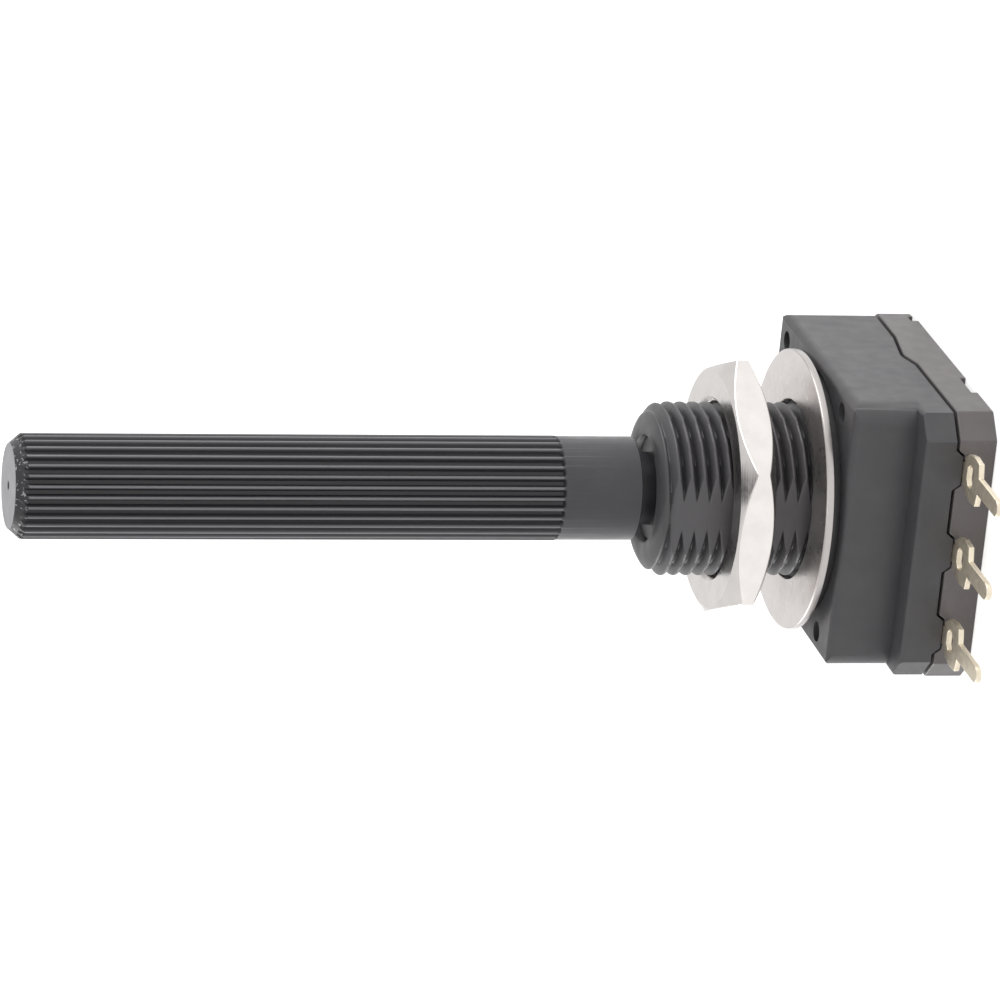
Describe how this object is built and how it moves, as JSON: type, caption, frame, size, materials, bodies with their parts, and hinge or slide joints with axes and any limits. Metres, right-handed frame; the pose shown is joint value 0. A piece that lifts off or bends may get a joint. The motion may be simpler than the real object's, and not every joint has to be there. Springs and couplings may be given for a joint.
{
  "type": "rotary potentiometer",
  "caption": "Panel potentiometer with a square plastic housing, threaded bush, nut and washer, a long knurled shaft and three solder terminals.",
  "frame": {"origin": "centre of the mounting face, the top of the boss that the washer lies on, on the shaft axis", "axes": "+Z along the shaft to its tip, -Y towards the terminals, +X to the right seen from the tip with the terminals down"},
  "size_m": [0.0162, 0.025, 0.0543],
  "materials": {
    "housing_plastic": "satin moulded thermoplastic, charcoal",
    "cover_plastic": "satin moulded thermoplastic, brownish black",
    "shaft_plastic": "satin moulded thermoplastic, dark grey",
    "spring_bronze": "thin spring bronze",
    "board_laminate": "brown paper laminate",
    "carbon_ink": "printed carbon film",
    "silver_ink": "printed silver film",
    "tinned_brass": "stamped strip with a dull plating",
    "rivet_brass": "plain brass eyelet",
    "nickel_plate": "bright nickel plating"
  },
  "bodies": {
    "body": {"housing": "housing_plastic", "rear_cover": "cover_plastic", "resistive_board": "board_laminate", "carbon_track": "carbon_ink", "collector_track": "silver_ink", "left_end_pad": "silver_ink", "right_end_pad": "silver_ink", "left_terminal": "tinned_brass", "centre_terminal": "tinned_brass", "right_terminal": "tinned_brass", "left_rivet": "rivet_brass", "centre_rivet": "rivet_brass", "right_rivet": "rivet_brass", "washer": "nickel_plate"},
    "rotor": {"rotor_shaft": "shaft_plastic", "wiper_spring": "spring_bronze"},
    "nut": {"hex_nut": "nickel_plate"}
  },
  "joints": [
    {"name": "shaft_turn", "type": "hinge", "parent": "body", "child": "rotor", "pos_m": [0, 0, 0], "axis": [0, 0, 1], "range_deg": [-150, 150]},
    {"name": "nut_travel", "type": "slide", "parent": "body", "child": "nut", "axis": [0, 0, 1], "range_m": [-0.00255, 0.0032]}
  ]
}
